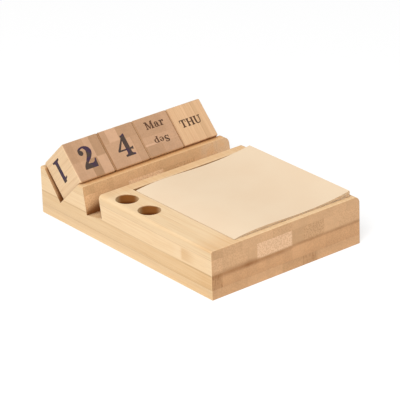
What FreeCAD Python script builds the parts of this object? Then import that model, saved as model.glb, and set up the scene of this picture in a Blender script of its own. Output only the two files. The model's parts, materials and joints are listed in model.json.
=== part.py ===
import FreeCAD, Part
import math
import os
from FreeCAD import Vector

# Perpetual desk calendar with a note recess, cut from two bamboo boards glued one on the other.
# X runs across the desk to the user's right, Y from the user to the back, Z up.  The origin is the
# middle of the block's underside.  Lengths are in millimetres, angles in degrees.

# The block: two laminated boards, glued flat one on the other, then milled and sanded as one.
BASE_BOARD_T = 15.0
UPPER_BOARD_T = 15.0
RIGHT_EDGE_ROUND = 4.0     # long top edge on the right
LEFT_EDGE_ROUND = 1.0      # long top edge on the left
LEFT_ROUND_AT_SLOT = 3.0   # the hand sanding widens to this where the tray meets the slot
EDGE_EASE = 0.4            # every other outer edge
LIP_EASE = 0.35            # top edges left by the cutters

# The date cubes: tens, units, month and weekday, from left to right.
CUBE_NODES = ("tens_cube", "units_cube", "month_cube", "weekday_cube")
CUBE_SIDE = 25.7
CUBE_EDGE_R = 0.9
CUBE_GAP = 0.2
CUBE_SEAT_GAP = 0.05
ROW_FROM_LEFT = 1.6        # first cube's end face to the block's left side

# The groove at the back, where the cubes stand on edge.  Its front slope is as long as a cube's side.
REAR_RAIL_TOP = 4.15       # level land behind the groove
GROOVE_FRONT_SLOPE = 44.0  # the seat that the cubes lie on
GROOVE_REAR_SLOPE = 51.0   # steeper, so that only its top edge touches the cubes

# The leaning slot for a telephone or cards, in front of the cubes.
FRONT_RAIL_TOP = 4.6       # level land between groove and slot
SLOT_WIDTH = 15.0
SLOT_LEAN = 10.0           # lean of both walls towards the back
SLOT_BELOW_SEAM = 2.0      # bite of the slot's rear corner into the base board

# The note paper and the recess that holds it.
NOTE_WIDTH = 86.0
NOTE_LENGTH = 89.2
NOTE_SHEET_T = 0.2
CURLED_NOTES_T = 3.6       # the upper notes, which have curled as one bunch
NOTE_LEFT_GAP = 0.2
NOTE_RIGHT_GAP = 0.5
NOTE_FRONT_GAP = 0.4
NOTE_BACK_GAP = 2.7
NOTE_LAYER_GAP = 0.05      # air between bunches that lift apart
RECESS_DEPTH = 10.0
RECESS_CORNER_R = 0.6
RIM_FRONT = 3.7            # recess to the block's front
RIM_RIGHT = 3.4            # recess to the block's right side
TRAY_BACK_LAND = 7.1       # recess to the slot's front edge
# Curl of the upper notes: share of the sheet's width from its left edge, and rise above the block's top.
NOTE_CURL = ((0.0, 0.0), (0.24, 1.4), (0.55, 0.7), (0.8, 1.25), (1.0, 3.2))

# The pen holes, drilled in a row along the left side.
PEN_HOLE_COUNT = 2
PEN_HOLE_D = 13.5
PEN_HOLE_CHAMFER = 0.2
PEN_HOLE_FLOOR_T = 8.0     # wood left under a hole
WALL_LEFT_OF_HOLES = 2.5
WALL_RIGHT_OF_HOLES = 3.9  # holes to the note recess
WALL_BEHIND_HOLES = 8.7    # rearmost hole to the slot's front edge
WALL_BETWEEN_HOLES = 7.2

PAST = 5.0                 # how far a cutter runs past the stock
TOUCH = 1e-4               # two places closer than this are the same


def sin(degrees):
    return math.sin(math.radians(degrees))


def cos(degrees):
    return math.cos(math.radians(degrees))


def tan(degrees):
    return math.tan(math.radians(degrees))


def cot(degrees):
    return 1.0 / tan(degrees)


# The openings in the block's top, and the block that they add up to.
GROOVE_DEPTH = CUBE_SIDE * sin(GROOVE_FRONT_SLOPE)
GROOVE_OPENING = GROOVE_DEPTH * (cot(GROOVE_FRONT_SLOPE) + cot(GROOVE_REAR_SLOPE))
SLOT_OPENING = SLOT_WIDTH / cos(SLOT_LEAN)
RECESS_WIDTH = NOTE_LEFT_GAP + NOTE_WIDTH + NOTE_RIGHT_GAP
RECESS_LENGTH = NOTE_FRONT_GAP + NOTE_LENGTH + NOTE_BACK_GAP
TRAY_LENGTH = RIM_FRONT + RECESS_LENGTH + TRAY_BACK_LAND
BLOCK_WIDTH = WALL_LEFT_OF_HOLES + PEN_HOLE_D + WALL_RIGHT_OF_HOLES + RECESS_WIDTH + RIM_RIGHT
BLOCK_LENGTH = TRAY_LENGTH + SLOT_OPENING + FRONT_RAIL_TOP + GROOVE_OPENING + REAR_RAIL_TOP

# Places along X, Y and Z.
LEFT = -BLOCK_WIDTH / 2
RIGHT = BLOCK_WIDTH / 2
FRONT = -BLOCK_LENGTH / 2
BACK = BLOCK_LENGTH / 2
SEAM_Z = BASE_BOARD_T
TOP_Z = BASE_BOARD_T + UPPER_BOARD_T
GROOVE_BOTTOM_Z = TOP_Z - GROOVE_DEPTH
GROOVE_BACK_Y = BACK - REAR_RAIL_TOP
GROOVE_FRONT_Y = GROOVE_BACK_Y - GROOVE_OPENING
GROOVE_BOTTOM_Y = GROOVE_BACK_Y - GROOVE_DEPTH * cot(GROOVE_REAR_SLOPE)
SLOT_BACK_Y = GROOVE_FRONT_Y - FRONT_RAIL_TOP
SLOT_FRONT_Y = SLOT_BACK_Y - SLOT_OPENING
RECESS_RIGHT_X = RIGHT - RIM_RIGHT
RECESS_LEFT_X = RECESS_RIGHT_X - RECESS_WIDTH
RECESS_FRONT_Y = FRONT + RIM_FRONT
RECESS_BACK_Y = RECESS_FRONT_Y + RECESS_LENGTH
RECESS_FLOOR_Z = TOP_Z - RECESS_DEPTH
NOTE_LEFT_X = RECESS_LEFT_X + NOTE_LEFT_GAP
NOTE_FRONT_Y = RECESS_FRONT_Y + NOTE_FRONT_GAP


def board(bottom_z, thickness):
    """One full board of the block, square-edged."""
    return Part.makeBox(BLOCK_WIDTH, BLOCK_LENGTH, thickness, Vector(LEFT, FRONT, bottom_z))


def through_cutter(section):
    """A straight cut across the whole width, from its section's (y, z) corners."""
    corners = [Vector(LEFT - PAST, y, z) for y, z in section]
    face = Part.Face(Part.makePolygon(corners + corners[:1]))
    return face.extrude(Vector(BLOCK_WIDTH + 2 * PAST, 0, 0))


def groove_cutter():
    """The cubes' groove: two slopes that meet in a line, each run on past the top."""
    return through_cutter([
        (GROOVE_BOTTOM_Y, GROOVE_BOTTOM_Z),
        (GROOVE_BACK_Y + PAST * cot(GROOVE_REAR_SLOPE), TOP_Z + PAST),
        (GROOVE_FRONT_Y - PAST * cot(GROOVE_FRONT_SLOPE), TOP_Z + PAST),
    ])


def slot_cutter():
    """The leaning slot: parallel walls with a floor square to them."""
    corner_z = SEAM_Z - SLOT_BELOW_SEAM
    corner_y = SLOT_BACK_Y - (TOP_Z - corner_z) * tan(SLOT_LEAN)
    rise = (TOP_Z - corner_z) / cos(SLOT_LEAN) + PAST
    up_y, up_z = rise * sin(SLOT_LEAN), rise * cos(SLOT_LEAN)
    across_y, across_z = -SLOT_WIDTH * cos(SLOT_LEAN), SLOT_WIDTH * sin(SLOT_LEAN)
    return through_cutter([
        (corner_y, corner_z),
        (corner_y + up_y, corner_z + up_z),
        (corner_y + up_y + across_y, corner_z + up_z + across_z),
        (corner_y + across_y, corner_z + across_z),
    ])


def pen_drills():
    """The drills for the pen holes, each with a small countersink at the mouth."""
    radius = PEN_HOLE_D / 2
    x = LEFT + WALL_LEFT_OF_HOLES + radius
    drills = []
    for index in range(PEN_HOLE_COUNT):
        y = SLOT_FRONT_Y - WALL_BEHIND_HOLES - radius - index * (PEN_HOLE_D + WALL_BETWEEN_HOLES)
        shank = Part.makeCylinder(radius, TOP_Z + PAST - PEN_HOLE_FLOOR_T, Vector(x, y, PEN_HOLE_FLOOR_T))
        widest = radius + PEN_HOLE_CHAMFER + PAST
        sink_start = Vector(x, y, TOP_Z - PEN_HOLE_CHAMFER)
        sink = Part.makeCone(radius, widest, PEN_HOLE_CHAMFER + PAST, sink_start)
        drills.append(shank.fuse(sink))
    return drills


def recess_cutter():
    """The note recess, with its upright corners rounded by the cutter."""
    height = RECESS_DEPTH + PAST
    corner = Vector(RECESS_LEFT_X, RECESS_FRONT_Y, RECESS_FLOOR_Z)
    pocket = Part.makeBox(RECESS_WIDTH, RECESS_LENGTH, height, corner)
    upright = [edge for edge in pocket.Edges if is_upright(edge)]
    return pocket.makeFillet(RECESS_CORNER_R, upright)


def is_upright(edge):
    ends = edge.Vertexes
    return abs(ends[0].X - ends[-1].X) < TOUCH and abs(ends[0].Y - ends[-1].Y) < TOUCH


def sanded_block(back_y, left_round_in_front, left_round_behind):
    """The outside of the finished block as far as back_y, which a glued piece is sanded to."""
    block = Part.makeBox(BLOCK_WIDTH, back_y - FRONT, TOP_Z, Vector(LEFT, FRONT, 0))
    right_edge, = [edge for edge in block.Edges if runs_along_top_side(edge) and edge.BoundBox.XMin > 0]
    block = block.makeFillet(RIGHT_EDGE_ROUND, [right_edge])
    left_edge, = [edge for edge in block.Edges if runs_along_top_side(edge) and edge.BoundBox.XMax < 0]
    rounds = [left_round_in_front, left_round_behind]
    if left_edge.firstVertex().Y > left_edge.lastVertex().Y:
        rounds.reverse()
    rounded = block.makeFillet(rounds[0], rounds[1], [left_edge])
    end_outlines = [edge for edge in rounded.Edges if lies_on_end(edge)]
    bottom_sides = [edge for edge in rounded.Edges if runs_along_bottom_side(edge)]
    return rounded.makeFillet(EDGE_EASE, end_outlines + bottom_sides)


def runs_along_y(edge):
    ends = edge.Vertexes
    return abs(ends[0].Y - ends[-1].Y) > BLOCK_LENGTH / 2


def runs_along_top_side(edge):
    return runs_along_y(edge) and edge.BoundBox.ZMin > TOP_Z - TOUCH


def runs_along_bottom_side(edge):
    return runs_along_y(edge) and edge.BoundBox.ZMax < TOUCH


def lies_on_end(edge):
    box = edge.BoundBox
    return box.YMax < FRONT + TOUCH or box.YMin > BACK - TOUCH


def ease_cutter_lips(piece):
    """Breaks the sharp top edges that the through cuts leave across the width."""
    lips = []
    for edge in piece.Edges:
        box = edge.BoundBox
        at_top = box.ZMin > TOP_Z - TOUCH
        crosswise = box.YLength < TOUCH
        inside = FRONT + TOUCH < box.YMin and box.YMax < BACK - TOUCH
        if at_top and crosswise and inside:
            lips.append(edge)
    return piece.makeFillet(LIP_EASE, lips)


def ease_recess_rim(tray):
    """Breaks the sharp top edge of the note recess."""
    rim = []
    for edge in tray.Edges:
        box = edge.BoundBox
        at_top = box.ZMin > TOP_Z - TOUCH
        in_x = box.XMin > RECESS_LEFT_X - TOUCH and box.XMax < RECESS_RIGHT_X + TOUCH
        in_y = box.YMin > RECESS_FRONT_Y - TOUCH and box.YMax < RECESS_BACK_Y + TOUCH
        if at_top and in_x and in_y:
            rim.append(edge)
    return tray.makeFillet(LIP_EASE, rim)


def only_solid(shape):
    """The one solid that a cut leaves."""
    solid, = shape.removeSplitter().Solids
    return solid


def base_board(outside):
    """The lower board, with the floors of the groove, slot and pen holes cut into it."""
    blank = board(0.0, BASE_BOARD_T)
    milled = blank.cut([groove_cutter(), slot_cutter()] + pen_drills())
    return only_solid(milled.common(outside))


def upper_pieces(outside):
    """The upper board after milling: the groove and slot part it into three."""
    blank = board(SEAM_Z, UPPER_BOARD_T)
    parted = blank.cut([groove_cutter(), slot_cutter()])
    tray, front_rail, rear_rail = sorted(parted.Solids, key=lambda solid: solid.CenterOfMass.y)
    tray = ease_cutter_lips(tray).cut([recess_cutter()] + pen_drills())
    tray_outside = sanded_block(SLOT_FRONT_Y + PAST, LEFT_EDGE_ROUND, LEFT_ROUND_AT_SLOT)
    return {
        "memo_tray": only_solid(ease_recess_rim(tray).common(tray_outside)),
        "front_rail": only_solid(ease_cutter_lips(front_rail).common(outside)),
        "rear_rail": only_solid(ease_cutter_lips(rear_rail).common(outside)),
    }


def cube_centre():
    """Centre (y, z) of a cube that lies on the front slope and leans on the rear rail's top edge."""
    half = CUBE_SIDE / 2 + CUBE_SEAT_GAP
    seat_y, seat_z = sin(GROOVE_FRONT_SLOPE), cos(GROOVE_FRONT_SLOPE)
    back_y, back_z = -seat_z, seat_y
    off_seat = GROOVE_FRONT_Y * seat_y + TOP_Z * seat_z + half
    off_back = GROOVE_BACK_Y * back_y + TOP_Z * back_z + half
    return off_seat * seat_y + off_back * back_y, off_seat * seat_z + off_back * back_z


def date_cubes():
    """Four equal cubes in a row, stood on edge in the groove."""
    centre_y, centre_z = cube_centre()
    cubes = {}
    for index, node in enumerate(CUBE_NODES):
        x = LEFT + ROW_FROM_LEFT + index * (CUBE_SIDE + CUBE_GAP)
        corner = Vector(x, centre_y - CUBE_SIDE / 2, centre_z - CUBE_SIDE / 2)
        cube = Part.makeBox(CUBE_SIDE, CUBE_SIDE, CUBE_SIDE, corner)
        cube = cube.makeFillet(CUBE_EDGE_R, cube.Edges)
        cube.rotate(Vector(x, centre_y, centre_z), Vector(1, 0, 0), 90 - GROOVE_FRONT_SLOPE)
        cubes[node] = cube
    return cubes


def curl_line(below):
    """The curl across the sheet's width, a given depth below its uppermost surface."""
    points = [Vector(NOTE_LEFT_X + share * NOTE_WIDTH, NOTE_FRONT_Y, TOP_Z + rise - below)
              for share, rise in NOTE_CURL]
    curve = Part.BSplineCurve()
    curve.interpolate(points)
    return curve.toShape()


def curled_slab(top_below, thickness):
    """Paper that follows the curl, as one closed slab."""
    upper = curl_line(top_below)
    lower = curl_line(top_below + thickness)
    left_side = Part.makeLine(lower.Vertexes[0].Point, upper.Vertexes[0].Point)
    right_side = Part.makeLine(upper.Vertexes[-1].Point, lower.Vertexes[-1].Point)
    outline = Part.Wire([left_side, upper, right_side, lower])
    return Part.Face(outline).extrude(Vector(0, NOTE_LENGTH, 0))


def notes():
    """The paper in the recess: flat notes below, the curled bunch on them, the loose top note."""
    bunch_below = NOTE_SHEET_T + NOTE_LAYER_GAP
    stack_bottom = RECESS_FLOOR_Z + NOTE_LAYER_GAP
    stack_top = TOP_Z - bunch_below - CURLED_NOTES_T - NOTE_LAYER_GAP
    corner = Vector(NOTE_LEFT_X, NOTE_FRONT_Y, stack_bottom)
    return {
        "note_stack": Part.makeBox(NOTE_WIDTH, NOTE_LENGTH, stack_top - stack_bottom, corner),
        "curled_notes": curled_slab(bunch_below, CURLED_NOTES_T),
        "top_note": curled_slab(0.0, NOTE_SHEET_T),
    }


def all_pieces():
    outside = sanded_block(BACK, LEFT_EDGE_ROUND, LEFT_EDGE_ROUND)
    pieces = {"base_board": base_board(outside)}
    pieces.update(upper_pieces(outside))
    pieces.update(date_cubes())
    pieces.update(notes())
    return pieces


os.makedirs("parts", exist_ok=True)
for name, shape in all_pieces().items():
    shape.exportStep("parts/" + name + ".step")
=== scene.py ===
"""The look of a bamboo desk calendar: sanded bamboo, inked date cubes and a pile of curled notes."""
import json
import math
from typing import NamedTuple

import bpy
from mathutils import Matrix, Vector
from mathutils.geometry import delaunay_2d_cdt


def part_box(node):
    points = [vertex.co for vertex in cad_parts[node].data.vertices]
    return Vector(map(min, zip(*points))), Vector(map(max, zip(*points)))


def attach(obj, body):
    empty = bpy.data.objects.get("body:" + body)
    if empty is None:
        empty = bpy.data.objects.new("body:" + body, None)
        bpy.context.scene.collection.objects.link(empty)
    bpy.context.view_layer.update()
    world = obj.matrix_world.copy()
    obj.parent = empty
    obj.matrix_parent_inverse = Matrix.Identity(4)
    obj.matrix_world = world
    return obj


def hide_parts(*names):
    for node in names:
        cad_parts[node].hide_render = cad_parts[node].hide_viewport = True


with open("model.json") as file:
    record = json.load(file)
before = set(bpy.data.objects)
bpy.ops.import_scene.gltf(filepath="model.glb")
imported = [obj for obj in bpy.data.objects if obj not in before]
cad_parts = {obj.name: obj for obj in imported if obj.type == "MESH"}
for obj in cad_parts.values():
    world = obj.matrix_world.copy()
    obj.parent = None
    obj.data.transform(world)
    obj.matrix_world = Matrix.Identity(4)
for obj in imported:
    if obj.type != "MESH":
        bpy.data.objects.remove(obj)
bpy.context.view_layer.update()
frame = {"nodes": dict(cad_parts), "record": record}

MM = 0.001
BOARD_NODES = ("base_board", "memo_tray", "front_rail", "rear_rail")
CUBE_NODES = ("tens_cube", "units_cube", "month_cube", "weekday_cube")
CUBE_SEAT_SLOPE = 44.0    # degrees, the slope that the cubes lie on
CUBE_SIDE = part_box("tens_cube")[1].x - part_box("tens_cube")[0].x


def srgb(red, green, blue):
    """A colour as seen on screen, 0 to 255, as the linear values that a shader takes."""
    channels = [value / 255 for value in (red, green, blue)]
    return tuple(c / 12.92 if c <= 0.04045 else ((c + 0.055) / 1.055) ** 2.4 for c in channels) + (1.0,)


def new_object(name, data):
    made = bpy.data.objects.new(name, data)
    bpy.context.scene.collection.objects.link(made)
    return made


def new_piece(name, vertices, faces, finish):
    mesh = bpy.data.meshes.new(name)
    mesh.from_pydata([tuple(vertex) for vertex in vertices], [], faces)
    mesh.materials.append(finish)
    mesh.update()
    return new_object(name, mesh)


def join(tree, pairs):
    for start, end in pairs:
        tree.links.new(start, end)


# ---- Finishes ----
# Lengths in them are in millimetres, but a finish's own place is in metres.

AO_SAMPLES = 8            # rays that look for surfaces near by


def arithmetic(operation, swapped=False):
    """A method for Value that works an operation out on the value and what it is given."""
    def work_out(self, *others):
        values = (self, *others)
        return self.finish.math(operation, *(reversed(values) if swapped else values))
    return work_out


class Value:
    """What a node gives at each point.  Arithmetic on values adds the nodes that work it out."""

    def __init__(self, finish, socket):
        self.finish = finish
        self.socket = socket

    __add__ = arithmetic("ADD")
    __sub__ = arithmetic("SUBTRACT")
    __rsub__ = arithmetic("SUBTRACT", swapped=True)
    __mul__ = arithmetic("MULTIPLY")
    __truediv__ = arithmetic("DIVIDE")
    __pow__ = arithmetic("POWER")
    __rpow__ = arithmetic("POWER", swapped=True)
    __abs__ = arithmetic("ABSOLUTE")
    above = arithmetic("GREATER_THAN")
    below = arithmetic("LESS_THAN")
    at_least = arithmetic("MAXIMUM")

    def dot(self, direction):
        return self.finish.vector("DOT_PRODUCT", self, tuple(direction))

    def ease(self, low, high, out_low=0.0, out_high=1.0):
        """A smooth step from out_low, where the value is low or less, to out_high."""
        inputs = {"Value": self, "From Min": low, "From Max": high, "To Min": out_low, "To Max": out_high}
        return self.finish.add("MapRange", "Result", inputs, interpolation_type="SMOOTHSTEP")

    def fade(self, low, high):
        return self.ease(low, high, 1.0, 0.0)


class Finish:
    """A material, with short calls that add and join its nodes."""

    def __init__(self, name):
        self.material = bpy.data.materials.new(name)
        self.material.use_nodes = True
        self.tree = self.material.node_tree
        self.tree.nodes.clear()
        self.place = self.add("TexCoord", "Object", {})
        self.normal = Value(self, self.place.socket.node.outputs["Normal"])

    def feed(self, socket, value):
        if isinstance(value, Value):
            self.tree.links.new(value.socket, socket)
        else:
            socket.default_value = value

    def add(self, kind, result, inputs, **settings):
        """Adds a node with these settings and inputs, and gives one of its outputs."""
        node = self.tree.nodes.new("ShaderNode" + kind)
        for name, setting in settings.items():
            setattr(node, name, setting)
        for key, value in inputs.items():
            self.feed(node.inputs[key], value)
        return Value(self, node.outputs[result])

    def math(self, operation, *values):
        return self.add("Math", "Value", dict(enumerate(values)), operation=operation)

    def vector(self, operation, *values):
        result = "Value" if operation in ("DOT_PRODUCT", "LENGTH") else "Vector"
        return self.add("VectorMath", result, dict(enumerate(values)), operation=operation)

    def triple(self, x, y, z):
        return self.add("CombineXYZ", "Vector", {"X": x, "Y": y, "Z": z})

    def place_in_mm(self):
        return self.add("VectorMath", "Vector", {0: self.place, "Scale": 1 / MM}, operation="SCALE")

    def mix(self, share, first, second, blend="MIX"):
        # The mix node has one set of sockets for each kind of data; 6, 7 and 2 are those for colours.
        return self.add("Mix", 2, {0: share, 6: first, 7: second}, data_type="RGBA", blend_type=blend)

    def noise(self, place, scale, detail=2.0, roughness=0.5):
        inputs = {"Vector": place, "Scale": scale, "Detail": detail, "Roughness": roughness}
        return self.add("TexNoise", "Fac", inputs)

    def cells(self, place, scale):
        """Distance from the nearest of many scattered points in a plane."""
        inputs = {"Vector": place, "Scale": scale}
        return self.add("TexVoronoi", "Distance", inputs, voronoi_dimensions="2D")

    def openness(self, reach, **settings):
        """1 where no surface stands within reach, less where some do."""
        return self.add("AmbientOcclusion", "AO", {"Distance": reach * MM}, samples=AO_SAMPLES, **settings)

    def surfaced(self, colour, roughness, gloss, relief, strength, depth):
        """The material, once it has its colour, gloss and relief."""
        bump = {"Strength": strength, "Distance": depth * MM, "Height": relief}
        inputs = {"Base Color": colour, "Roughness": roughness, "Specular IOR Level": gloss}
        shader = self.add("BsdfPrincipled", "BSDF", {**inputs, "Normal": self.add("Bump", "Normal", bump)})
        output = self.tree.nodes.new("ShaderNodeOutputMaterial")
        self.feed(output.inputs["Surface"], shader)
        return self.material


GLUE_LINE = 0.10          # half the width of a glue line
PLY_REACH = 60.0          # plies are described from minus to plus this far
GRAIN_RUN = 0.02          # how fast the grain changes along the fibre, as a share of how fast across it
WANDER = 0.8              # how far fibres wander to either side
WANDER_RUN = 0.025        # the same for their wandering
DASH_RUN = 0.06           # and for the dashes, up the stack
WORN_REACH = 1.2          # how far from an edge handling has rubbed it
CORNER_REACH = 4.0        # how far from a corner the painted shade reaches
HOLLOW_REACH = 20.0       # how far apart the walls of a hollow with painted shade may be
WOOD_GLOSS = 0.3
MATT_GLOSS = 0.15


def strip_ramp(finish, across, strips):
    """Paleness, speckle and glue line of the strips of one ply, as the three channels of a ramp.

    A strip is (where it starts across the ply, how pale it is, how speckled its end is)."""
    colour = finish.add("ValToRGB", "Color", {"Fac": across * (0.5 / PLY_REACH) + 0.5})
    ramp = colour.socket.node.color_ramp
    ramp.interpolation = "CONSTANT"
    stops = []
    for start, pale, speckled in strips:
        stops.append((start - GLUE_LINE, (pale, speckled, 1, 1)))
        stops.append((start + GLUE_LINE, (pale, speckled, 0, 1)))
    while len(ramp.elements) < len(stops):
        ramp.elements.new(0.5)
    for element, (start, channels) in zip(ramp.elements, stops):
        element.position = max(0.0, (start + PLY_REACH) / (2 * PLY_REACH))
        element.color = channels
    return colour


class Bamboo:
    """A laminated bamboo finish around a centre, with axes along the fibre, across a ply and up the stack.

    Plies are (lowest height, strips), from below; they run into each other over the blur."""

    def __init__(self, name, centre, axes, plies, tints, blur=0):
        self.finish = finish = Finish(name)
        self.place = finish.vector("SUBTRACT", finish.place, tuple(centre))
        self.along, self.across, self.stack = (self.place.dot(axis / MM) for axis in axes)
        self.end_grain = abs(finish.normal.dot(axes[0])).ease(0.45, 0.9)
        self.long_grain = 1 - self.end_grain
        self.lay_strips(plies, blur)
        self.grow_fibres()
        self.colour = self.tinted(*tints)

    def lay_strips(self, plies, blur):
        finish = self.finish
        strips = strip_ramp(finish, self.across, plies[0][1])
        self.ply_line = 0
        for height, ply in plies[1:]:
            above = self.stack.ease(height - blur, height + blur + 0.01)
            strips = finish.mix(above, strips, strip_ramp(finish, self.across, ply))
            self.ply_line = abs(self.stack - height).below(GLUE_LINE).at_least(self.ply_line)
        split = finish.add("SeparateColor", 0, {"Color": strips}).socket.node
        self.pale, self.speckled, self.strip_line = (Value(finish, part) for part in split.outputs)

    def grow_fibres(self):
        """Fibres wander slightly as they run, and are the same lines on a long face as dots on an end."""
        noise, triple = self.finish.noise, self.finish.triple
        wander = noise(triple(self.along * WANDER_RUN, self.pale, 0), 1) * (2 * WANDER) - WANDER
        u = self.across + wander
        w = self.stack + wander
        cut_across = triple(u, w, 0)
        round_dots = self.finish.cells(cut_across, 0.85).fade(0.22, 0.5)
        # The most speckled strips show their vessels as upright dashes.
        dashes = noise(triple(u, w * DASH_RUN, 0), 1.9, detail=1).ease(0.42, 0.6)
        dashes = dashes * noise(cut_across, 0.7).ease(0.3, 0.6, 0.3, 1)
        self.dots = (dashes - round_dots) * self.speckled.ease(0.8, 0.95) + round_dots
        cut_along = triple(u, self.along * GRAIN_RUN, w)
        self.streaks = noise(cut_along, 0.85, detail=4, roughness=0.6)
        self.lines = noise(cut_along, 1.5, detail=1).ease(0.63, 0.72)
        self.fine = noise(cut_along, 3.2)
        cloud_place = triple(self.across, self.along * 0.5, self.stack)
        self.clouds = noise(cloud_place, 0.16, detail=4, roughness=0.6)

    def tinted(self, long_tints, end_tint, vessel_tint):
        """Long faces are cream with darker streaks, ends are tan with dark dots."""
        mix = self.finish.mix
        light, streak, line = (srgb(*tint) for tint in long_tints)
        long_face = mix(self.streaks.ease(0.35, 0.75), light, streak)
        long_face = mix(self.fine.ease(0.55, 0.78) * 0.2, long_face, line)
        long_face = mix(self.lines * 0.3, long_face, line)
        clouded = tuple(0.955 * value for value in end_tint)
        end_face = mix(self.clouds.ease(0.3, 0.7), srgb(*end_tint), srgb(*clouded))
        end_face = mix(self.pale.ease(0.68, 0.84) * 0.5, end_face, srgb(232, 196, 160))
        end_face = mix(self.dots * (self.speckled * 0.5 + 0.04), end_face, srgb(*vessel_tint))
        colour = mix(self.end_grain, long_face, end_face)
        # A darker strip is also a browner one.
        tone = (self.pale * 0.7 + 0.65) * self.end_grain + (self.pale * 0.2 + 0.9) * self.long_grain
        colour = self.finish.vector("MULTIPLY", colour, self.finish.triple(tone, tone ** 1.12, tone ** 1.4))
        ply_line = self.end_grain.ease(0, 1, 0.32, 0.1) * self.ply_line
        return mix(ply_line.at_least(self.strip_line * 0.14), colour, srgb(150, 100, 56))

    def wear_edges(self):
        """Edges that handling has rubbed bright."""
        rubbed = self.finish.mix(self.end_grain, srgb(244, 214, 172), srgb(188, 144, 98))
        open_inside = self.finish.openness(WORN_REACH, inside=True, only_local=True)
        worn = open_inside.ease(0.4, 0.95, 0.35, 0)
        self.colour = self.finish.mix(worn, self.colour, rubbed)

    def paint_corner_shade(self, share, tint):
        """Painted shade where surfaces meet."""
        corner = self.finish.openness(CORNER_REACH).fade(0.35, 0.95)
        self.colour = self.finish.mix(corner * share, self.colour, tint)

    def surfaced(self):
        roughness = self.streaks.ease(0.2, 0.8, 0.46, 0.64)
        relief = self.dots * -0.5 + self.fine * 0.6
        return self.finish.surfaced(self.colour, roughness, WOOD_GLOSS, relief, strength=0.25, depth=0.08)


# ---- The block's bamboo ----
# Along is from front to back, across from left to right.

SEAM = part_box("memo_tray")[0].z / MM
PLY = 6                   # thickness of the lowest ply
BEHIND_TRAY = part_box("memo_tray")[1].y / MM + 0.4  # end grain further back is on a sawn wall
FRONT_RAIL = (30, 50)     # the front rail's top lies between these, and no other top does
IN_GROOVE = 44            # what lies further back is in the groove, or on the rear rail
TOP_FACE = 29             # what is higher than this is the top
KNUCKLE_HEIGHT = 19.9
DEEPEST_STAIN = -26       # where across the front the seam's stain is deepest


def shade_boards(wood):
    """The lower board is yellower, the rails' sawn walls are paler, the top is darker in places, and painted
    shade darkens the front rail's top by the cubes.
    """
    along, across, stack = wood.along, wood.across, wood.stack
    mix = wood.finish.mix
    low_board = stack.fade(SEAM - 0.4, SEAM)
    second_ply = stack.above(PLY)
    long_tint = mix(second_ply, (0.955, 0.915, 0.85, 1), (0.95, 0.885, 0.79, 1))
    end_tint = mix(second_ply, (1, 0.985, 0.96, 1), (1, 0.94, 0.885, 1))
    yellower = mix(wood.end_grain, long_tint, end_tint)
    share = low_board * along.ease(-80, 0, 1, 0.35)
    colour = mix(share, wood.colour, yellower, blend="MULTIPLY")
    sawn = wood.end_grain * along.above(BEHIND_TRAY)
    colour = mix(sawn, colour, (1.19, 1.22, 1.18, 1), blend="MULTIPLY")
    # The slot's rear wall pales towards its right end.
    pale_end = sawn * along.below(42) * across.ease(30, 36) * wood.clouds.ease(0.35, 0.6)
    colour = mix(pale_end, colour, (1.05, 1.13, 1.28, 1), blend="MULTIPLY")
    # Darker are the land behind the notes, the front of the top and the front end; on the front rail's top
    # this is painted shade from the cubes, darkest by the groove.
    land = across.ease(-46, -30, 0.5, 1) * along.ease(14, 19)
    rail = along.ease(38, 43.5, 1.5, 2.7) * across.ease(-54, -49, 0.2, 1)
    rail = rail * along.above(FRONT_RAIL[0]) * along.below(FRONT_RAIL[1])
    front = across.ease(-40, -20, 0.9, 0.5) * along.fade(-78, -58)
    top = land.at_least(rail).at_least(front) * stack.above(TOP_FACE)
    front_end = along.ease(-74, -64, 0.3, 0) * low_board * second_ply
    darkened_share = top.at_least(front_end) * wood.long_grain
    # Darker tone, and painted shade on the front rail's top.
    tan = wood.finish.triple(*(kept ** darkened_share for kept in (0.93, 0.83, 0.73)))
    wood.colour = wood.finish.vector("MULTIPLY", colour, tan)


def glue_seam(wood):
    """The joint between the two boards: a stain in the end grain, and a thin dark line along the sides."""
    along, across, stack = wood.along, wood.across, wood.stack
    finish = wood.finish
    # The stain hangs below the seam at the left and middle, and is deepest left of the middle.
    off = stack - SEAM + across.ease(-4, 6, 0.9, 0.2)
    rise = off / across.ease(-26, -18, 3.8, 1.8)
    fall = off / across.ease(0, 8, -2.8, -1.5)
    depth = across.ease(-20, 4, 0.6, 0.46) + abs(across - DEEPEST_STAIN).ease(2, 7, 0.2, 0)
    patchy = finish.noise(finish.triple(across, along, 0), 0.09).ease(0.35, 0.65, 0.8, 1.15)
    stain = rise.at_least(fall).fade(0, 1) * depth * patchy * wood.end_grain
    colour = finish.mix(stain, wood.colour, srgb(146, 94, 48))
    line = abs(stack - (SEAM - 0.3)).fade(0.15, 0.75)
    shown = along.ease(-60, -45, 0.62, 0.2).at_least(along.ease(0, 40, 0.2, 0.4))
    wood.colour = finish.mix(line * shown * wood.long_grain, colour, srgb(186, 138, 84))


def grow_knuckle(wood):
    """A bamboo knuckle in the left strip of the upper board: a tan flush, and a paler patch behind it."""
    along, across, stack = wood.along, wood.across, wood.stack
    in_strip = across.fade(-48.5, -47.5) * abs(stack - KNUCKLE_HEIGHT).fade(2.8, 4.4) * wood.long_grain
    flush = in_strip * along.ease(-67, -56) * along.fade(-54.4, -51.8) * 0.62
    patch = in_strip * along.ease(-54, -51) * along.fade(-50, -43) * 0.35
    colour = wood.finish.mix(flush, wood.colour, srgb(222, 180, 130))
    wood.colour = wood.finish.mix(patch, colour, srgb(249, 222, 184))


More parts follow.
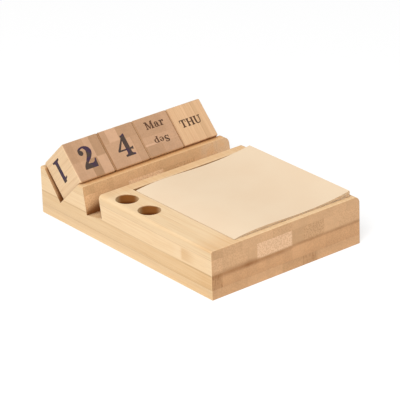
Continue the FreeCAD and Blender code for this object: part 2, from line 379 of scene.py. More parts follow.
def paint_bore_light_and_shade(wood):
    """Painted light and shade in the pen holes: the left wall lighter, two opposite sides darker, and darker
    still deep down.
    """
    along, across, stack = wood.along, wood.across, wood.stack
    finish = wood.finish
    for mount in frame["record"]["mounts"]:
        if not mount["name"].startswith("pen_hole"):
            continue
        x, y, mouth = (value / MM for value in mount["pos_m"])
        radius = mount["dims"]["r_mm"]
        off = finish.vector("SUBTRACT", finish.triple(across, along, 0), (x, y, 0))
        shaded_sides = abs(off.dot((0.62 / radius, 0.79 / radius, 0)))
        # Painted light on the left wall, painted shade on two opposite sides and deep down in the hole.
        wall = finish.mix(across.above(x), srgb(250, 212, 156), srgb(240, 198, 146))
        wall = finish.mix(shaded_sides.ease(0.3, 0.9), wall, srgb(156, 97, 43))
        wall = finish.mix(stack.fade(mouth - 5.6, mouth - 3.6), wall, srgb(112, 58, 14))
        within = finish.vector("LENGTH", off).below(radius + 0.1)
        wood.colour = finish.mix(within * stack.fade(mouth - 0.6, mouth - 0.15), wood.colour, wall)


def paint_hollow_shade(wood):
    """Painted shade in the corners, low in the slot and all down the groove, but not where the block stands.
    """
    along, stack = wood.along, wood.stack
    off_desk = stack.ease(1, 8)
    wood.paint_corner_shade(off_desk * 0.7, srgb(140, 88, 38))
    in_slot = stack.ease(15.5, 24, 0.95, 0)
    in_groove = along.above(IN_GROOVE) * stack.ease(28.6, 30.2, 0.95, 0)
    # Painted shade, deepest where walls stand close around.
    deep_shade = wood.finish.openness(HOLLOW_REACH).fade(0.36, 0.66) * off_desk * in_slot.at_least(in_groove)
    wood.colour = wood.finish.mix(deep_shade, wood.colour, srgb(104, 56, 14))


def board_bamboo():
    """The block: two boards of two plies each, laid from strips of mixed widths."""
    plies = [
        (0, [(-60, 0.52, 0.2), (-30, 0.60, 0.1), (-3.9, 0.45, 0.3), (10, 0.44, 1), (22.3, 0.60, 0.2),
             (48, 0.58, 0.2)]),
        (PLY, [(-60, 0.27, 1), (-47.7, 0.45, 0.2), (-28, 0.49, 0.2), (3.6, 0.55, 0.1), (12, 0.50, 0.2),
               (29, 0.50, 0.3)]),
        (SEAM, [(-60, 0.66, 0.4), (-47.7, 0.56, 0.3), (-28.5, 0.56, 0.1), (-22.2, 0.78, 0.45),
                (3.6, 0.42, 0.1), (12.7, 0.50, 0.6), (27.3, 0.60, 0.1), (38.6, 0.59, 0.3)]),
        (24.4, [(-60, 0.38, 0.2), (-47, 0.52, 0.3), (-33, 0.60, 0.2), (-10.4, 0.54, 0.3), (4, 0.55, 0.1),
                (27, 0.57, 0.2), (45, 0.54, 0.1)]),
    ]
    tints = (((243, 212, 169), (236, 201, 155), (208, 162, 112)), (217, 172, 127), (156, 104, 56))
    axes = (Vector((0, 1, 0)), Vector((1, 0, 0)), Vector((0, 0, 1)))
    wood = Bamboo("sanded bamboo board", Vector(), axes, plies, tints)
    shade_boards(wood)
    glue_seam(wood)
    grow_knuckle(wood)
    paint_bore_light_and_shade(wood)
    wood.wear_edges()
    paint_hollow_shade(wood)
    return wood.surfaced()


# ---- The cubes' bamboo, the paper and the ink ----

class CubeFrame:
    """Where a cube stands: its centre and its own axes, as it lies on the groove's front slope."""

    def __init__(self, node):
        low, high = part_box(node)
        lean = math.radians(90 - CUBE_SEAT_SLOPE)
        self.centre = (low + high) / 2
        self.right = Vector((1, 0, 0))
        self.up = Vector((0, math.cos(lean), math.sin(lean)))
        self.front = self.right.cross(self.up)


def paint_gap_shade(wood, right, left_share, right_share):
    """Painted shade on the edges of a cube's faces, where it meets the next cube."""
    x = wood.place.dot(right / MM)
    half = CUBE_SIDE / MM / 2
    at_right = x.ease(half - 1, half - 0.3, 0, right_share)
    at_left = x.ease(0.3 - half, 1 - half, left_share, 0)
    open_face = abs(wood.finish.normal.dot(right)).fade(0.75, 0.95)
    wood.colour = wood.finish.mix((at_right + at_left) * open_face, wood.colour, srgb(132, 84, 36))


def cube_bamboo():
    """Three cubes show end grain in front, the weekday cube shows its long grain."""
    cream = ((246, 212, 170), (238, 200, 156), (206, 160, 112))
    caramel = ((226, 185, 142), (213, 170, 128), (188, 142, 98))
    # Long-grain tints, blur between plies, painted shade at the left and right edges, plies.
    looks = {
        "tens_cube": (cream, 0.5, (0, 1), [
            (-13, [(-60, 0.30, 0.1), (-7.4, 0.36, 0), (-1, 0.02, 0.1), (4.8, 0.46, 0)]),
            (-0.9, [(-60, 0.17, 0.1), (-7.4, 0.26, 0.1), (0.8, 0.42, 0), (5.3, 0.12, 0.1)])]),
        "units_cube": (cream, 0.5, (0.95, 0.65), [
            (-13, [(-60, 0.34, 0.1), (-0.6, 0.42, 0), (6.5, 0.27, 0.1)]),
            (4, [(-60, 0.24, 0.1), (-8.3, 0.53, 0), (-0.6, 0.20, 0.1)])]),
        "month_cube": (cream, 0, (0.55, 0.45), [
            (-13, [(-60, 0.20, 0.1), (-1, 0.34, 0.1)]),
            (-5.6, [(-60, 0.62, 0), (-3, 0.42, 0.1)]),
            (-4.4, [(-60, 0.38, 0.1)]),
            (0.3, [(-60, 0.26, 0.1), (6, 0.34, 0.1)])]),
        "weekday_cube": (caramel, 0, (0.4, 0), [
            (-13, [(-60, 0.55, 0.1), (-5, 0.75, 0.1), (-1.3, 0.45, 0.1), (4.6, 0.05, 0.1),
                   (7.2, 0.60, 0.1)])]),
    }
    finishes = {}
    for node, (long_tints, blur, gap_shade, plies) in looks.items():
        stand = CubeFrame(node)
        axes = (stand.front, stand.right, stand.up)
        if node == "weekday_cube":
            axes = axes[::-1]
        tints = (long_tints, (213, 170, 135), (158, 108, 62))
        wood = Bamboo(node.replace("_", " ") + " bamboo", stand.centre, axes, plies, tints, blur)
        paint_gap_shade(wood, stand.right, *gap_shade)
        wood.wear_edges()
        wood.paint_corner_shade(0.5, srgb(150, 98, 46))
        finishes[node] = wood.surfaced()
    return finishes


def note_paper():
    """Cream uncoated paper, with faint clouds in its colour, a fine tooth, and painted shade on its edges."""
    finish = Finish("cream note paper")
    place = finish.place_in_mm()
    clouds = finish.noise(place, 0.03)
    tooth = finish.noise(place, 6, detail=3)
    colour = finish.mix(clouds.ease(0.3, 0.7), srgb(243, 219, 188), srgb(241, 215, 183))
    colour = finish.mix(tooth.ease(0.6, 0.8) * 0.12, colour, srgb(228, 198, 160))
    # Painted shade on the edges of the sheets.
    edge_shade = abs(finish.normal.dot((0, 0, 1))).ease(0.3, 0.6, 0.8, 0)
    colour = finish.mix(edge_shade, colour, srgb(226, 192, 148))
    return finish.surfaced(colour, 0.9, MATT_GLOSS, tooth, strength=0.15, depth=0.03)


def stamp_ink(name, main, patched, thinned):
    """Stamping ink, of two shades in patches and worn thin in places."""
    finish = Finish(name)
    place = finish.place_in_mm()
    patches = finish.noise(place, 0.16, detail=1)
    worn = finish.noise(place, 1.3, detail=3, roughness=0.65)
    colour = finish.mix(patches.ease(0.42, 0.6), srgb(*main), srgb(*patched))
    colour = finish.mix(worn.ease(0.5, 0.8) * 0.45, colour, srgb(*thinned))
    return finish.surfaced(colour, 0.6, MATT_GLOSS, worn, strength=0.2, depth=0.04)


# ---- Type ----
# Glyphs stand on a baseline at 0, and their sizes are in thousandths of their height.
# They are drawn from patches that may overlap.

UNITS = 1000
STEM = 210                # stem of a capital
HAIR = 85                 # thin strokes of a capital
SLAB = 85                 # thickness of a slab serif
BRACKET_RISE = 70         # height and reach of the curve from a serif into its stem
BRACKET_REACH = 30
LOWER = 700               # height of a small letter
CURVE_STEPS = 7           # pieces of a curve between two of its points
TURN_STEPS = 36           # pieces of a whole bowl
BALL_STEPS = 20           # pieces of a ball's outline


class Glyph:
    """The patches of one character, and the width that it takes in a line."""

    def __init__(self, width):
        self.width = width / UNITS
        self.patches = []

    def patch(self, *corners):
        self.patches.append([Vector(corner) / UNITS for corner in corners])
        return self

    def block(self, left, bottom, right, top):
        return self.patch((left, bottom), (right, bottom), (right, top), (left, top))

    def slab(self, left, right, top=UNITS):
        return self.block(left, top - SLAB, right, top)

    def ball(self, x, y, radius):
        turns = [2 * math.pi * step / BALL_STEPS for step in range(BALL_STEPS)]
        return self.patch(*[(x + radius * math.cos(turn), y + radius * math.sin(turn)) for turn in turns])

    def bowl(self, x, y, half_width, half_height, stem, hair, start=0, end=360):
        """Part of a ring that is a stem thick at its sides and a hair thick at top and bottom."""
        count = round(TURN_STEPS * (end - start) / 360)
        rings = []
        for step in range(count + 1):
            turn = math.radians(start + (end - start) * step / count)
            across, along = math.cos(turn), math.sin(turn)
            outer = (x + half_width * across, y + half_height * along)
            inner = (x + (half_width - stem) * across, y + (half_height - hair) * along)
            rings.append((outer, inner))
        return self.fill_between(rings)

    def stroke(self, *points):
        """A smooth stroke through (x, y, thickness) points."""
        line = smooth_line([Vector(point) for point in points])
        sides = []
        for index, here in enumerate(line):
            ahead = line[min(index + 1, len(line) - 1)] - line[max(index - 1, 0)]
            side = Vector((-ahead.y, ahead.x)).normalized() * here.z / 2
            sides.append((here.xy + side, here.xy - side))
        return self.fill_between(sides)

    def fill_between(self, pairs):
        """Patches from each pair of points to the next."""
        for (a, b), (c, d) in zip(pairs, pairs[1:]):
            self.patch(a, b, d, c)
        return self

    def foot(self, x, y, width, stem, up=1):
        """A slab serif whose top curves into the stem; up is -1 for a serif at the head of a stem."""
        half, near = width / 2, stem / 2
        curve = (near + BRACKET_REACH, SLAB + BRACKET_RISE * 0.3), (near, SLAB + BRACKET_RISE)
        right = [(half, 0), (half, SLAB * 0.8), *curve]
        outline = right + [(-across, rise) for across, rise in reversed(right)]
        return self.patch(*[(x + across, y + rise * up) for across, rise in outline])

    def stem(self, x, bottom, top, stem=STEM, foot=0, head=0):
        """An upright with slab serifs of the given widths, or none."""
        self.block(x - stem / 2, bottom, x + stem / 2, top)
        if foot:
            self.foot(x, bottom, foot, stem)
        if head:
            self.foot(x, top, head, stem, up=-1)
        return self


def smooth_line(points):
    """A Catmull-Rom curve through the points."""
    padded = [points[0] * 2 - points[1]] + points + [points[-1] * 2 - points[-2]]
    line = []
    for p0, p1, p2, p3 in zip(padded, padded[1:], padded[2:], padded[3:]):
        for step in range(CURVE_STEPS):
            t = step / CURVE_STEPS
            line.append((p1 * 2 + (p2 - p0) * t + (p0 * 2 - p1 * 5 + p2 * 4 - p3) * t * t
                         + (p1 * 3 - p0 - p2 * 3 + p3) * t * t * t) / 2)
    return line + [points[-1]]


GLYPHS = {
    # Numbers.
    "0": Glyph(760).bowl(380, 500, 370, 500, 250, 60),
    "1": Glyph(620).stem(330, 0, 1000, 260, foot=620)
         .patch((460, 1000), (400, 1000), (40, 870), (20, 810), (200, 830), (220, 780), (460, 780)),
    "2": Glyph(720).ball(165, 735, 115)
         .stroke((65, 750, 50), (130, 880, 90), (330, 957, 85), (500, 860, 200), (545, 720, 255),
                 (470, 540, 210), (300, 340, 130), (140, 170, 100), (90, 60, 100))
         .patch((40, 0), (670, 0), (710, 370), (655, 370), (600, 250), (500, 205), (360, 220), (240, 235),
                (120, 150), (40, 60)),
    "3": Glyph(700).ball(165, 765, 110).ball(160, 235, 120)
         .stroke((70, 780, 50), (170, 910, 90), (350, 962, 75), (500, 870, 180), (520, 750, 235),
                 (440, 620, 130), (270, 545, 70))
         .stroke((270, 545, 70), (470, 490, 140), (560, 360, 250), (550, 200, 250), (430, 70, 120),
                 (310, 38, 75), (150, 90, 90), (60, 220, 50)),
    "4": Glyph(780).block(400, 0, 620, 950).block(20, 275, 760, 345)
         .patch((0, 290), (40, 275), (130, 330), (460, 800), (620, 860), (620, 1000), (545, 1000),
                (10, 350))
         .patch((620, 275), (760, 245), (780, 375), (620, 345)).foot(510, 0, 500, 220),
    "5": Glyph(700).block(120, 490, 180, 960)
         .patch((120, 1000), (120, 800), (300, 815), (460, 815), (560, 860), (600, 1000), (450, 975),
                (280, 975))
         .stroke((140, 520, 50), (320, 605, 80), (490, 550, 180), (560, 360, 260), (530, 180, 230),
                 (420, 65, 110), (300, 38, 75), (140, 90, 90), (60, 220, 50))
         .ball(160, 235, 120),
    "6": Glyph(740).bowl(380, 310, 350, 310, 230, 65).ball(560, 820, 105)
         .stroke((660, 840, 50), (570, 940, 85), (440, 960, 80), (250, 850, 170), (160, 620, 240),
                 (145, 340, 230)),
    "7": Glyph(700)
         .patch((40, 640), (90, 640), (150, 780), (300, 815), (480, 790), (630, 800), (680, 1000),
                (600, 990), (440, 965), (240, 1000), (130, 960), (80, 1000), (40, 1000))
         .stroke((655, 930, 90), (540, 660, 100), (400, 420, 170), (330, 200, 250), (325, 0, 270)),
    "8": Glyph(720).bowl(370, 755, 285, 245, 180, 60).bowl(370, 275, 340, 275, 220, 65)
         .stroke((170, 660, 120), (370, 520, 150), (570, 380, 160)),
    # Capitals.
    "A": Glyph(1000).foot(170, 0, 320, HAIR).foot(810, 0, 370, STEM).block(260, 300, 660, 300 + HAIR)
         .patch((130, 20), (220, 20), (540, 930), (440, 1000))
         .patch((700, 20), (920, 20), (600, 1000), (420, 1000)),
    "D": Glyph(960).stem(220, 0, 1000).block(20, 0, 420, SLAB).slab(20, 420)
         .bowl(400, 500, 520, 500, STEM + 20, SLAB, -90, 90),
    "E": Glyph(880).stem(220, 0, 1000).block(20, 0, 820, SLAB).slab(20, 780)
         .block(220, 470, 560, 470 + HAIR).block(520, 360, 590, 660).block(760, 0, 830, 320)
         .block(720, 700, 790, 1000),
    "F": Glyph(840).stem(220, 0, 1000, foot=420).slab(20, 780).block(220, 470, 560, 470 + HAIR)
         .block(520, 340, 590, 680).block(720, 680, 790, 1000),
    "H": Glyph(1040).stem(210, 0, 1000, foot=390, head=390).stem(830, 0, 1000, foot=390, head=390)
         .block(250, 455, 800, 455 + HAIR),
    "I": Glyph(460).stem(230, 0, 1000, foot=420, head=420),
    "J": Glyph(720).stem(480, 240, 1000, head=440).ball(150, 200, 125)
         .stroke((480, 300, STEM), (460, 120, 170), (330, 35, 80), (180, 70, 90), (60, 180, 50)),
    "M": Glyph(1220).stem(200, 0, 1000, 110, foot=340).stem(1000, 0, 1000, foot=390).slab(20, 320)
         .slab(920, 1190).patch((120, 1000), (350, 1000), (660, 200), (560, 0))
         .patch((560, 0), (660, 200), (920, 1000), (1010, 1000), (630, 0)),
    "N": Glyph(1040).stem(200, 0, 1000, 110, foot=350).stem(840, 50, 1000, 110, head=350).slab(20, 320)
         .patch((120, 1000), (340, 1000), (890, 200), (890, 0), (780, 0)),
    "O": Glyph(940).bowl(470, 500, 450, 510, STEM + 30, HAIR),
    "R": Glyph(980).stem(220, 0, 1000, foot=420).slab(20, 460)
         .bowl(440, 735, 360, 265, STEM, SLAB, -90, 90).block(220, 470, 460, 470 + SLAB)
         .stroke((440, 500, 100), (610, 400, 190), (680, 180, 210), (780, 60, 130), (950, 70, 60)),
    "S": Glyph(780)
         .stroke((650, 660, 50), (610, 860, 80), (400, 958, HAIR), (200, 860, 160), (200, 690, 200),
                 (380, 550, 240), (570, 410, 220), (620, 250, 200), (550, 100, 140), (360, 40, HAIR),
                 (140, 130, 80), (90, 340, 50))
         .block(625, 640, 690, 990).block(55, 10, 120, 360),
    "T": Glyph(940).stem(470, 0, 1000, foot=440).slab(40, 900).block(30, 640, 100, 1000)
         .block(840, 640, 910, 1000),
    "U": Glyph(1000).stem(210, 340, 1000, head=390).stem(810, 340, 1000, 110, head=340)
         .stroke((210, 360, STEM), (240, 160, 190), (360, 60, 130), (530, 40, 90), (720, 110, 90),
                 (810, 360, 110)),
    "W": Glyph(1360).foot(190, 1000, 360, STEM, up=-1).foot(660, 1000, 300, STEM, up=-1)
         .foot(1190, 1000, 300, 100, up=-1).patch((80, 1000), (300, 1000), (530, 220), (440, 0))
         .patch((440, 0), (530, 220), (700, 860), (620, 900), (420, 0))
         .patch((550, 1000), (770, 1000), (1000, 220), (920, 0))
         .patch((900, 0), (1000, 200), (1240, 1000), (1140, 1000)),
    # Small letters.
    "a": Glyph(740).ball(170, 500, 95).bowl(300, 195, 255, 205, 170, 60, 50, 300)
         .stroke((90, 520, 40), (170, 620, 70), (330, 662, 70), (460, 590, 140), (500, 440, 190),
                 (500, 180, 190), (580, 60, 110), (710, 60, 50))
         .stroke((360, 395, 60), (500, 430, 70)).stroke((320, 25, 60), (420, 60, 70), (480, 140, 80)),
    "b": Glyph(780).stem(200, 20, 1000).slab(20, 220).bowl(420, 350, 330, 360, 190, 75),
    "c": Glyph(680).bowl(370, 350, 340, 360, 190, 70, 55, 318).ball(540, 520, 100)
         .stroke((580, 120, 70), (650, 200, 40)),
    "e": Glyph(700).bowl(360, 350, 330, 360, 180, 70, 0, 315).block(120, 340, 680, 410)
         .stroke((570, 110, 70), (660, 190, 40)),
    "g": Glyph(740).bowl(330, 450, 280, 260, 170, 60).bowl(340, -140, 300, 160, 120, 60)
         .stroke((160, 260, 50), (130, 130, 100), (300, 80, 150), (500, 30, 150), (580, -80, 120))
         .stroke((500, 580, 60), (620, 660, 60)).ball(660, 630, 75),
    "l": Glyph(460).stem(220, 0, 1000, foot=420).slab(20, 240),
    "n": Glyph(860).stem(210, 0, LOWER, 190, foot=380).slab(20, 240, LOWER)
         .stem(660, 0, 460, 190, foot=360)
         .stroke((280, 520, 60), (420, 650, 90), (580, 620, 160), (660, 440, 190)),
    "o": Glyph(720).bowl(360, 350, 340, 360, 190, 70),
    "p": Glyph(800).stem(210, -300, LOWER, 190, foot=380).slab(20, 240, LOWER)
         .bowl(430, 350, 330, 360, 180, 75),
    "r": Glyph(680).stem(210, 0, LOWER, 190, foot=400).slab(20, 240, LOWER).ball(560, 575, 100)
         .stroke((280, 460, 60), (380, 610, 100), (520, 660, 80), (620, 620, 50)),
    "t": Glyph(540).stem(230, 150, 920, 190).slab(20, 480, LOWER)
         .stroke((230, 220, 190), (250, 80, 140), (360, 30, 80), (500, 120, 50)),
    "u": Glyph(860).stem(200, 200, LOWER, 190).slab(20, 220, LOWER).stem(650, 0, LOWER, 190)
         .slab(460, 660, LOWER).block(640, 0, 840, SLAB)
         .stroke((200, 260, 190), (240, 90, 160), (380, 45, 90), (520, 110, 70), (600, 220, 60)),
    "v": Glyph(780).foot(180, LOWER, 360, 190, up=-1).foot(640, LOWER, 280, 70, up=-1)
         .patch((80, LOWER), (280, LOWER), (470, 180), (390, 0))
         .patch((370, 0), (450, 160), (680, LOWER), (600, LOWER)),
    "y": Glyph(780).foot(180, LOWER, 360, 190, up=-1).foot(640, LOWER, 280, 70, up=-1).ball(130, -190, 95)
         .patch((80, LOWER), (280, LOWER), (470, 160), (410, -20))
         .stroke((650, 680, 70), (500, 220, 80), (360, -120, 100), (240, -260, 80), (110, -260, 50)),
}


# ---- Printing on the cubes ----

INK_LIFT = 0.03 * MM      # how far the ink stands proud of the wood
INK_SUNK = 0.05 * MM      # how far it reaches into the wood
LETTER_GAP = 0.07         # gap between letters, as a share of their height
NUMBER_SPREAD = 0.001     # how far the ink has run past the stamp's edge, as a share of the height
LETTER_SPREAD = 0.011
NUMBER_HEIGHT = 14.5      # millimetres, as are the places and heights below
NET_TOLERANCE = 1e-5      # corners of a letter that lie closer than this are one


class Line(NamedTuple):
    """A line of type on a face, with the middle of its baseline as seen from the face's middle."""
    text: str
    height: float
    x: float
    baseline: float
    turned: bool = False
    stretch: float = 1.0


def number(text, x=0.0, baseline=-7.3, stretch=1.0):
    return [Line(text, NUMBER_HEIGHT, x, baseline, stretch=stretch)]


def months(upper, lower):
    """Two months on a face: one upright above, the other below and upside down."""
    return [Line(upper, 4.88, 0.72, 4.36, stretch=1.04),
            Line(lower, 4.05, 0.45, -2.35, turned=True, stretch=1.12)]


def days(upper, lower=None):
    if lower is None:
        return [Line(upper, 5.03, -0.87, -1.74)]
    return [Line(upper, 4.6, -0.1, 3.2), Line(lower, 4.6, -0.1, -3.2, turned=True)]


def cube_prints():
    """What is printed on each cube: front, upper rear, lower rear, lower front, left end, right end."""
    return {
        "tens_cube": [number("2", -0.93, -6.7, 1.0), number("0"), number("7"), number("8"),
                      number("1", 0.95, -8.7, 0.87), number("6")],
        "units_cube": [number("4", 0.0, -7.3, 0.98), number("5"), number("0"), number("3"), number("2"),
                       number("1")],
        "month_cube": [months("Mar", "Sep"), months("Apr", "Oct"), months("May", "Nov"),
                       months("Feb", "Aug"), months("Jan", "Jul"), months("Jun", "Dec")],
        "weekday_cube": [days("THU"), days("FRI"), days("SAT", "SUN"), days("WED"), days("MON"), days("TUE")],
    }


def face_frames(stand):
    """(outward, up) of each face, in the order that cube_prints gives."""
    front, up, right = stand.front, stand.up, stand.right
    return [(front, up), (up, -front), (-front, -up), (-up, front), (-right, -up), (right, up)]


def sides_of(patch):
    return list(zip(patch, patch[1:] + patch[:1]))


def inside(point, patch):
    """Whether a point lies within a patch, by the number of edges to its right."""
    crossings = 0
    for start, end in sides_of(patch):
        if (start.y > point.y) != (end.y > point.y):
            crossing = start.x + (end.x - start.x) * (point.y - start.y) / (end.y - start.y)
            crossings += crossing > point.x
    return crossings % 2 == 1


def swollen(patch, spread):
    """A patch with each side moved outward by spread."""
    area = sum(start.x * end.y - end.x * start.y for start, end in sides_of(patch))
    outward = []
    for start, end in sides_of(patch):
        along = (end - start).normalized()
        outward.append(Vector((along.y, -along.x)) * math.copysign(1, area))
    corners = []
    for corner, before, after in zip(patch, outward[-1:] + outward[:-1], outward):
        corners.append(corner + (before + after) * spread / max(0.5, 1 + before.dot(after)))
    return corners


def letter_net(letter):
    """A letter's overlapping patches as one flat net of triangles, at height 1."""
    spread = NUMBER_SPREAD if letter.isdigit() else LETTER_SPREAD
    patches = [swollen(patch, spread) for patch in GLYPHS[letter].patches]
    corners, edges = [], []
    for patch in patches:
        edges += [(len(corners) + i, len(corners) + (i + 1) % len(patch)) for i in range(len(patch))]
        corners += patch
    points, _, triangles, _, _, _ = delaunay_2d_cdt(corners, edges, [], 0, NET_TOLERANCE, False)
    kept = []
    for triangle in triangles:
        middle = (points[triangle[0]] + points[triangle[1]] + points[triangle[2]]) / 3
        if any(inside(middle, patch) for patch in patches):
            kept.append(list(triangle))
    return points, kept


def set_line(line, nets):
    """The nets of a line of type, in metres on its face, one for each letter."""
    width = sum(GLYPHS[letter].width for letter in line.text) + LETTER_GAP * (len(line.text) - 1)
    pen = -width / 2
    x, baseline, height = line.x * MM, line.baseline * MM, line.height * MM
    if line.turned:
        height = -height
    letters = []
    for letter in line.text:
        points, triangles = nets[letter]
        placed = [Vector((x + (pen + point.x) * height * line.stretch, baseline + point.y * height))
                  for point in points]
        letters.append((placed, triangles))
        pen += GLYPHS[letter].width + LETTER_GAP
    return letters


def ink_prism(points, triangles, place):
    """A thin closed slab over the triangles; place is the matrix from the face's own axes to space."""
    used = sorted({corner for triangle in triangles for corner in triangle})
    order = {corner: index for index, corner in enumerate(used)}
    count = len(used)
    vertices = [place @ Vector((*points[corner], lift)) for lift in (INK_LIFT, -INK_SUNK) for corner in used]
    tops = [[order[corner] for corner in triangle] for triangle in triangles]
    bottoms = [[count + corner for corner in reversed(top)] for top in tops]
    edges = {(a, b) for top in tops for a, b in sides_of(top)}
    sides = [[b, a, count + a, count + b] for a, b in edges if (b, a) not in edges]
    return vertices, tops + bottoms + sides


def print_cube(node, prints, nets, ink):
    """All the printing of one cube, as one object."""
    stand = CubeFrame(node)
    vertices, faces = [], []
    for (outward, up), lines in zip(face_frames(stand), prints):
        axes = Matrix((up.cross(outward), up, outward)).transposed().to_4x4()
        place = Matrix.Translation(stand.centre + outward * CUBE_SIDE / 2) @ axes
        for points, triangles in (letter for line in lines for letter in set_line(line, nets)):
            more_vertices, more_faces = ink_prism(points, triangles, place)
            faces += [[index + len(vertices) for index in face] for face in more_faces]
            vertices += more_vertices
    piece = new_piece(node.replace("cube", "print"), vertices, faces, ink)
    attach(piece, node)


# ---- The note paper ----

SHEET_THICKNESS = 0.12 * MM
SHEET_PITCH = 0.2 * MM
SHEET_SHIFT = 0.1 * MM    # how far a sheet may lie out of line
SHEET_STEPS = 48          # pieces of a sheet's curl
FLAT_SHEETS = 30
FLAT_SEED = 3
CURLED_SHEETS = 18
CURLED_SEED = 8
TOP_NOTE_SLID = 0.15 * MM  # the top note has slid up to the tray's left wall


def upper_line(node):
    """The (x, z) line along the top of a CAD node of one section, from left to right."""
    highest = {}
    for vertex in frame["nodes"][node].data.vertices:
        x = round(vertex.co.x, 6)
        highest[x] = max(highest.get(x, vertex.co.z), vertex.co.z)
    return sorted(highest.items())


def height_at(line, x):
    """Height of the line at x, straight from point to point."""
    for (x0, z0), (x1, z1) in zip(line, line[1:]):
        if x <= x1:
            return z0 + (z1 - z0) * (x - x0) / (x1 - x0)
    return line[-1][1]


def sheet_of_paper(name, node, lowest_drop, paper, slid=0.0):
    """One sheet that follows the top of a CAD node, the given distance below it, slid to the left."""
    low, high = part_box(node)
    line = upper_line(node)
    vertices = []
    for step in range(SHEET_STEPS + 1):
        x = low.x + (high.x - low.x) * step / SHEET_STEPS
        z = height_at(line, x) - lowest_drop
        for y in (low.y, high.y):
            vertices += [(x - slid, y, z), (x - slid, y, z + SHEET_THICKNESS)]
    faces = [(0, 1, 3, 2)]
    for a in range(0, 4 * SHEET_STEPS, 4):
        b = a + 4
        faces += [(a + 1, b + 1, b + 3, a + 3), (a, a + 2, b + 2, b), (a, b, b + 1, a + 1),
                  (a + 2, a + 3, b + 3, b + 2)]
    last = 4 * SHEET_STEPS
    faces.append((last, last + 2, last + 3, last + 1))
    return new_piece(name, vertices, faces, paper)


def pile_tree():
    """Geometry nodes that lay copies of a sheet one on another, each a little out of line."""
    tree = bpy.data.node_groups.new("Note pile", "GeometryNodeTree")
    inputs = {}
    for name, kind, value in (("Sheet", "Geometry", None), ("Sheets", "Int", 10),
                              ("Pitch", "Float", SHEET_PITCH), ("Shift", "Float", SHEET_SHIFT),
                              ("Seed", "Int", 1), ("Paper", "Material", None)):
        socket = tree.interface.new_socket(name, in_out="INPUT", socket_type="NodeSocket" + kind)
        if value is not None:
            socket.default_value = value
        inputs[name] = socket.identifier
    tree.interface.new_socket("Pile", in_out="OUTPUT", socket_type="NodeSocketGeometry")
    given = tree.nodes.new("NodeGroupInput").outputs
    result = tree.nodes.new("NodeGroupOutput")
    rise, least, most = (tree.nodes.new("ShaderNodeCombineXYZ") for _ in range(3))
    spots = tree.nodes.new("GeometryNodeMeshLine")
    back = tree.nodes.new("ShaderNodeMath")
    back.operation = "MULTIPLY"
    back.inputs[1].default_value = -1.0
    chance = tree.nodes.new("FunctionNodeRandomValue")
    chance.data_type = "FLOAT_VECTOR"
    nudge = tree.nodes.new("GeometryNodeSetPosition")
    copies = tree.nodes.new("GeometryNodeInstanceOnPoints")
    real = tree.nodes.new("GeometryNodeRealizeInstances")
    coat = tree.nodes.new("GeometryNodeSetMaterial")
    join(tree, [
        # Spots one above another.
        (given["Sheets"], spots.inputs["Count"]),
        (given["Pitch"], rise.inputs["Z"]), (rise.outputs[0], spots.inputs["Offset"]),
        # Each spot is nudged by up to the shift, either way.
        (given["Shift"], most.inputs["X"]), (given["Shift"], most.inputs["Y"]),
        (given["Shift"], back.inputs[0]),
        (back.outputs[0], least.inputs["X"]), (back.outputs[0], least.inputs["Y"]),
        (least.outputs[0], chance.inputs["Min"]), (most.outputs[0], chance.inputs["Max"]),
        (given["Seed"], chance.inputs["Seed"]), (chance.outputs["Value"], nudge.inputs["Offset"]),
        (spots.outputs["Mesh"], nudge.inputs["Geometry"]),
        # A real sheet of paper lies on each.
        (nudge.outputs["Geometry"], copies.inputs["Points"]), (given["Sheet"], copies.inputs["Instance"]),
        (copies.outputs["Instances"], real.inputs["Geometry"]),
        (real.outputs["Geometry"], coat.inputs["Geometry"]), (given["Paper"], coat.inputs["Material"]),
        (coat.outputs["Geometry"], result.inputs["Pile"]),
    ])
    return tree, inputs


def pile_of_notes(name, node, sheets, seed, pile, paper):
    """A pile of sheets that fills a CAD node from its top down, as one plain mesh."""
    tree, inputs = pile
    sheet = sheet_of_paper(name + "_sheet", node, sheets * SHEET_PITCH, paper)
    modifier = sheet.modifiers.new("pile", "NODES")
    modifier.node_group = tree
    modifier[inputs["Sheets"]] = sheets
    modifier[inputs["Seed"]] = seed
    modifier[inputs["Paper"]] = paper
    evaluated = sheet.evaluated_get(bpy.context.evaluated_depsgraph_get())
    mesh = bpy.data.meshes.new_from_object(evaluated)
    mesh.name = name
    bpy.data.objects.remove(sheet)
    piece = new_object(name, mesh)
    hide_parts(node)
    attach(piece, node)


def lay_notes(paper):
    pile = pile_tree()
    pile_of_notes("flat_notes", "note_stack", FLAT_SHEETS, FLAT_SEED, pile, paper)
    pile_of_notes("curled_note_pile", "curled_notes", CURLED_SHEETS, CURLED_SEED, pile, paper)
    top = sheet_of_paper("loose_top_note", "top_note", SHEET_THICKNESS, paper, TOP_NOTE_SLID)
    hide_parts("top_note")
    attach(top, "top_note")


# ---- The studio ----

CAMERA_AZIMUTH = 38.24    # degrees round to the left from straight in front
CAMERA_ELEVATION = 24.57
CAMERA_ROLL = -1.88
CAMERA_DISTANCE = 1.6245
CAMERA_TARGET = Vector((1.49, 0.0, 17.18)) * MM
CAMERA_LENS = 250.0       # millimetres, on a sensor of the width below
SENSOR_WIDTH = 36.0
FAR_CLIP = 100.0
FLOOR_SIZE = 40.0
FLOOR_GREY = 0.8          # as the block sees it
SEEN_FLOOR_GREY = 0.45    # as the camera sees it, with a glow that makes it white but for the shadow
SEEN_FLOOR_GLOW = 0.62
SKY_STRENGTH = 0.45
KEY_POWER = 36.0          # watts
KEY_SIZE = 1.1
KEY_PLACE = Vector((-1.16, -0.955, 1.59))
WHITE = (1, 1, 1, 1)


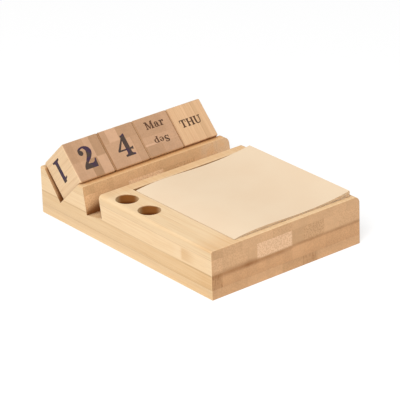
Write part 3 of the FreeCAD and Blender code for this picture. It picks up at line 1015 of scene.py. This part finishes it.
def set_camera():
    turn = (Matrix.Rotation(-math.radians(CAMERA_AZIMUTH), 4, "Z")
            @ Matrix.Rotation(math.radians(90 - CAMERA_ELEVATION), 4, "X")
            @ Matrix.Rotation(math.radians(CAMERA_ROLL), 4, "Z"))
    away = Matrix.Translation((0, 0, CAMERA_DISTANCE))
    camera = new_object("camera", bpy.data.cameras.new("camera"))
    camera.data.lens = CAMERA_LENS
    camera.data.sensor_width = SENSOR_WIDTH
    camera.data.clip_end = FAR_CLIP
    camera.matrix_world = Matrix.Translation(CAMERA_TARGET) @ turn @ away
    bpy.context.scene.camera = camera


def show_apart(tree, plain, seen, surface):
    """Rays seen directly, in a gloss or through glass meet one shader, all others the plain one."""
    path = tree.nodes.new("ShaderNodeLightPath")
    pick = tree.nodes.new("ShaderNodeMixShader")
    share = path.outputs["Is Camera Ray"]
    for kind in ("Is Glossy Ray", "Is Transmission Ray"):
        either = tree.nodes.new("ShaderNodeMath")
        either.operation = "MAXIMUM"
        join(tree, [(share, either.inputs[0]), (path.outputs[kind], either.inputs[1])])
        share = either.outputs[0]
    join(tree, [*zip((share, plain, seen), pick.inputs), (pick.outputs[0], surface)])


def set_sky():
    world = bpy.data.worlds.new("studio")
    world.use_nodes = True
    bpy.context.scene.world = world
    tree = world.node_tree
    sky = tree.nodes["Background"]
    sky.inputs["Color"].default_value = WHITE
    sky.inputs["Strength"].default_value = SKY_STRENGTH
    seen = tree.nodes.new("ShaderNodeBackground")
    seen.inputs["Color"].default_value = WHITE
    show_apart(tree, sky.outputs[0], seen.outputs[0], tree.nodes["World Output"].inputs["Surface"])


def set_floor():
    material = bpy.data.materials.new("white floor")
    material.use_nodes = True
    tree = material.node_tree
    plain = tree.nodes["Principled BSDF"]
    plain.inputs["Base Color"].default_value = (FLOOR_GREY, FLOOR_GREY, FLOOR_GREY, 1)
    plain.inputs["Roughness"].default_value = 1.0
    plain.inputs["Specular IOR Level"].default_value = 0.0
    shaded = tree.nodes.new("ShaderNodeBsdfDiffuse")
    shaded.inputs["Color"].default_value = (SEEN_FLOOR_GREY, SEEN_FLOOR_GREY, SEEN_FLOOR_GREY, 1)
    glow = tree.nodes.new("ShaderNodeEmission")
    glow.inputs["Strength"].default_value = SEEN_FLOOR_GLOW
    seen = tree.nodes.new("ShaderNodeAddShader")
    join(tree, [(shaded.outputs[0], seen.inputs[0]), (glow.outputs[0], seen.inputs[1])])
    show_apart(tree, plain.outputs[0], seen.outputs[0], tree.nodes["Material Output"].inputs["Surface"])
    half = FLOOR_SIZE / 2
    corners = [(-half, -half, 0), (half, -half, 0), (half, half, 0), (-half, half, 0)]
    floor = new_piece("floor", corners, [(0, 1, 2, 3)], material)


def set_key_lamp():
    data = bpy.data.lights.new("key", "AREA")
    data.size = KEY_SIZE
    data.energy = KEY_POWER
    turn = KEY_PLACE.to_track_quat("Z", "Y").to_matrix().to_4x4()
    new_object("key", data).matrix_world = Matrix.Translation(KEY_PLACE) @ turn


def set_studio():
    bpy.context.scene.view_settings.view_transform = "Standard"
    set_camera()
    set_sky()
    set_floor()
    set_key_lamp()


def paint_nodes(nodes, finishes):
    """Gives CAD nodes their finish, on the mesh as it is."""
    for node in nodes:
        mesh = frame["nodes"][node].data
        mesh.materials.clear()
        mesh.materials.append(finishes[node])


paint_nodes(BOARD_NODES, dict.fromkeys(BOARD_NODES, board_bamboo()))
paint_nodes(CUBE_NODES, cube_bamboo())
number_ink = stamp_ink("indigo stamping ink", (76, 63, 56), (68, 51, 70), (122, 94, 76))
letter_ink = stamp_ink("brown black stamping ink", (80, 58, 42), (92, 64, 46), (144, 106, 76))
cube_inks = dict(zip(CUBE_NODES, (number_ink, number_ink, letter_ink, letter_ink)))
letter_nets = {letter: letter_net(letter) for letter in GLYPHS}
for cube_node, cube_text in cube_prints().items():
    print_cube(cube_node, cube_text, letter_nets, cube_inks[cube_node])
lay_notes(note_paper())
set_studio()
